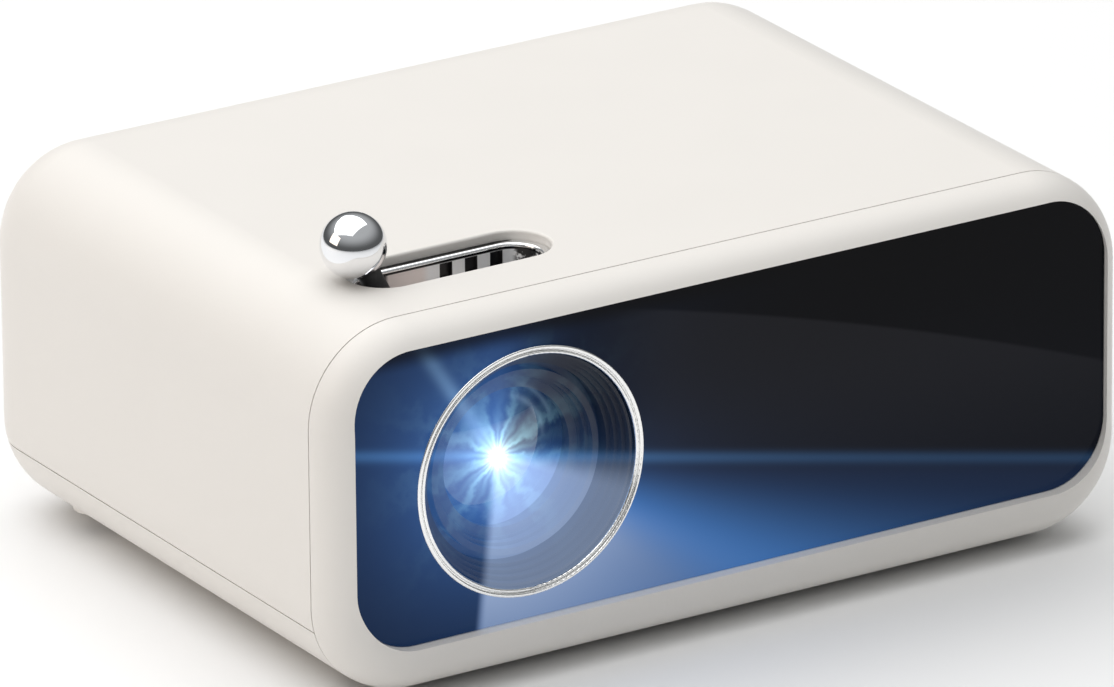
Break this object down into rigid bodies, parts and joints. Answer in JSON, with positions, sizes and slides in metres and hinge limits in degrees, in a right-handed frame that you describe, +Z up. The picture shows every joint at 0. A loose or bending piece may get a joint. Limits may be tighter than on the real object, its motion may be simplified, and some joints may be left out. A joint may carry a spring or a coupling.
{
  "type": "home projector",
  "caption": "Compact rounded-box video projector with a glossy front window, ringed lens and a ball-ended focus lever in a slot on top.",
  "frame": {"origin": "on the resting surface under the middle of the case", "axes": "+Z up, the lens looks along -Y, +X to the right seen from the front"},
  "size_m": [0.15, 0.1136, 0.0749],
  "materials": {
    "shell": "satin warm white moulded plastic",
    "gloss_black": "polished black acrylic",
    "grey_plastic": "fine textured dark grey plastic",
    "black_plastic": "matt black plastic",
    "chrome": "bright polished chrome",
    "steel": "zinc-plated steel",
    "brass": "machined brass",
    "aluminium": "extruded aluminium",
    "glass": "coated optical glass",
    "clear_plastic": "moulded Fresnel plastic",
    "display": "liquid crystal cell",
    "mirror": "front-surface mirror",
    "circuit_board": "green solder mask",
    "rubber": "soft matt rubber",
    "wire": "insulated wire",
    "flex": "amber polyimide film"
  },
  "bodies": {
    "housing": {"top_shell": "shell", "bottom_cover": "shell", "front_bezel": "shell", "front_panel": "gloss_black", "rear_panel": "grey_plastic", "slot_trim": "chrome", "lens_ring": "chrome", "lens_hood": "black_plastic", "focus_ring_clip": "steel", "lens_housing": "black_plastic", "engine_base": "black_plastic", "engine_cover": "black_plastic", "front_fresnel": "clear_plastic", "lcd_panel": "display", "rear_fresnel": "clear_plastic", "heat_glass": "glass", "condenser_lens": "glass", "light_funnel": "aluminium", "fold_mirror": "mirror", "led_module": "aluminium", "heat_sink": "aluminium", "fan_frame": "black_plastic", "main_board": "circuit_board", "hdmi_port": "steel", "usb_port": "steel", "audio_jack": "black_plastic", "dc_jack": "black_plastic", "chip_heat_sink": "aluminium", "ir_receiver": "gloss_black", "button_switch": "black_plastic", "driver_board": "circuit_board", "board_posts": "brass", "driver_parts": "black_plastic", "speaker": "black_plastic", "speaker_gasket": "rubber", "case_screws": "steel", "flange_screws": "steel", "fan_screws": "steel", "rubber_feet": "rubber", "tripod_insert": "brass", "fan_lead": "wire", "led_lead": "wire", "speaker_lead": "wire", "display_flex": "flex"},
    "focus": {"focus_ring": "black_plastic", "focus_lever": "steel", "lever_ball": "chrome", "dust_shield": "black_plastic"},
    "lens": {"lens_barrel": "black_plastic", "barrel_pins": "brass", "front_lens": "glass", "middle_lens": "glass", "rear_lens": "glass", "front_lens_retainer": "black_plastic", "rear_lens_retainer": "black_plastic"},
    "fan": {"fan_rotor": "black_plastic"},
    "power_button": {"power_button": "shell"}
  },
  "joints": [
    {"name": "focus_turn", "type": "hinge", "parent": "housing", "child": "focus", "pos_m": [-0.0384, -0.0313, 0.03525], "axis": [0, 1, 0], "range_deg": [0, 54.8]},
    {"name": "lens_slide", "type": "slide", "parent": "housing", "child": "lens", "axis": [0, 1, 0], "range_m": [0, 0.0056]},
    {"name": "fan_spin", "type": "hinge", "parent": "housing", "child": "fan", "pos_m": [0.042, 0.0478, 0.035], "axis": [0, 1, 0], "continuous": true},
    {"name": "button_press", "type": "slide", "parent": "housing", "child": "power_button", "axis": [0, -1, 0], "range_m": [0, 0.001], "stiffness_N_per_m": 600}
  ],
  "couplings": [
    {"joint": "lens_slide", "follows": "focus_turn", "m_per_rad": 0.00575}
  ]
}
